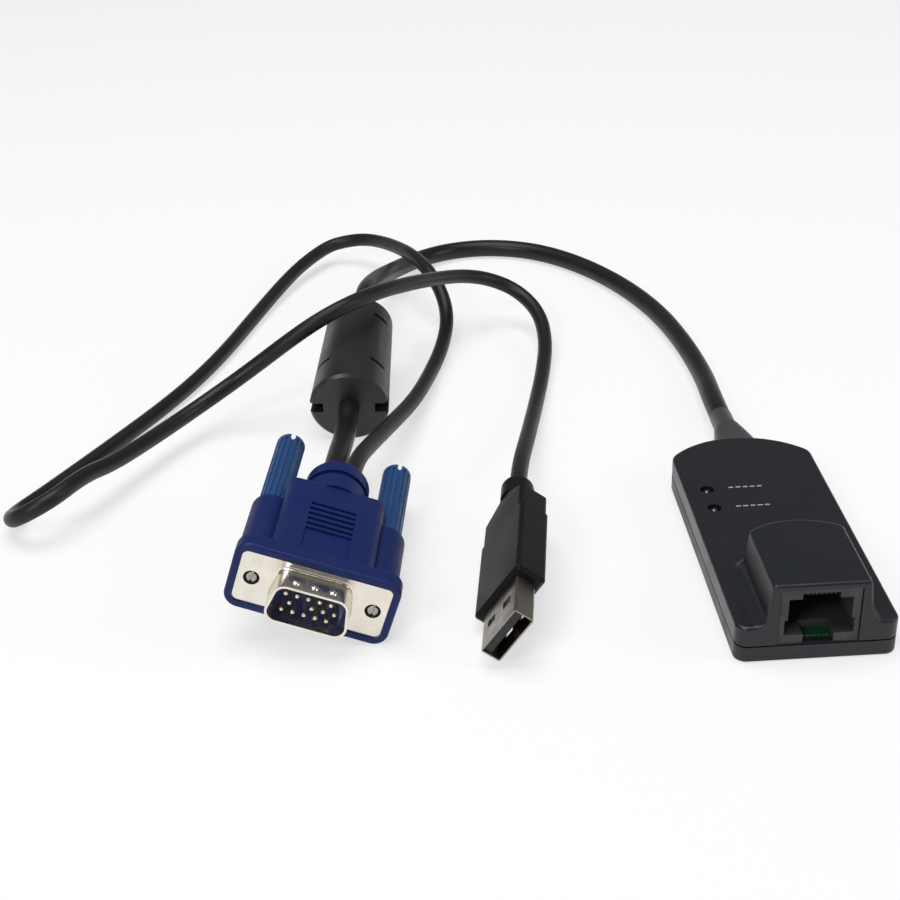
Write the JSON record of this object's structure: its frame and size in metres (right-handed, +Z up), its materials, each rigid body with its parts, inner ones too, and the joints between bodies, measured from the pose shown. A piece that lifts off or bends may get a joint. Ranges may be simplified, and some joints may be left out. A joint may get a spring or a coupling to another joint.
{
  "type": "kvm dongle",
  "caption": "Small console adapter: a flat module with a humped network jack and status lamps, a cable with a ferrite sleeve to a screw-fixed video plug, and a thin cable on to a serial plug.",
  "frame": {"origin": "middle of the module with its cable boot, on the surface it rests on; the loose cables and plugs don't count", "axes": "+Z up; +Y along the module from the jack end to the cable end; +X to the right seen from the jack end"},
  "size_m": [0.1862, 0.2226, 0.0317],
  "materials": {
    "cover_plastic": "fine satin charcoal",
    "case_plastic": "fine satin charcoal",
    "board": "green solder mask",
    "jack_plastic": "plain dark grey",
    "gold_contacts": "gold plated",
    "lamp_plastic": "clear dark, unlit",
    "boot_rubber": "matt black",
    "cable_jacket": "soft satin black",
    "sleeve_plastic": "satin dark grey",
    "ferrite": "sintered, dull",
    "hood_plastic": "satin navy",
    "nickel_plate": "bright nickel",
    "insulator_plastic": "black",
    "pin_metal": "bright plated",
    "knob_plastic": "satin blue",
    "screw_steel": "plated steel",
    "usb_steel": "satin nickel",
    "tongue_plastic": "black",
    "mould_rubber": "satin black"
  },
  "bodies": {
    "adapter": {"upper_cover": "cover_plastic", "lower_case": "case_plastic", "circuit_board": "board", "jack_housing": "jack_plastic", "jack_contacts": "gold_contacts", "power_led": "lamp_plastic", "active_led": "lamp_plastic", "cable_boot": "boot_rubber", "main_cable": "cable_jacket", "usb_cable": "cable_jacket", "ferrite_sleeve": "sleeve_plastic", "ferrite_core": "ferrite", "vga_hood": "hood_plastic", "vga_shell": "nickel_plate", "vga_insulator": "insulator_plastic", "vga_pins": "pin_metal", "usb_shell": "usb_steel", "usb_tongue": "tongue_plastic", "usb_contacts": "gold_contacts", "usb_overmould": "mould_rubber"},
    "thumbscrew_left": {"thumbscrew_left_knob": "knob_plastic", "thumbscrew_left_screw": "screw_steel"},
    "thumbscrew_right": {"thumbscrew_right_knob": "knob_plastic", "thumbscrew_right_screw": "screw_steel"}
  },
  "joints": [
    {"name": "left_screw_turn", "type": "hinge", "parent": "adapter", "child": "thumbscrew_left", "pos_m": [-0.1072, -0.00742, 0.01642], "axis": [0.1218, 0.9923, 0.0209], "continuous": true},
    {"name": "right_screw_turn", "type": "hinge", "parent": "adapter", "child": "thumbscrew_right", "pos_m": [-0.08361, -0.01016, 0.00861], "axis": [0.1218, 0.9923, 0.0209], "continuous": true}
  ]
}
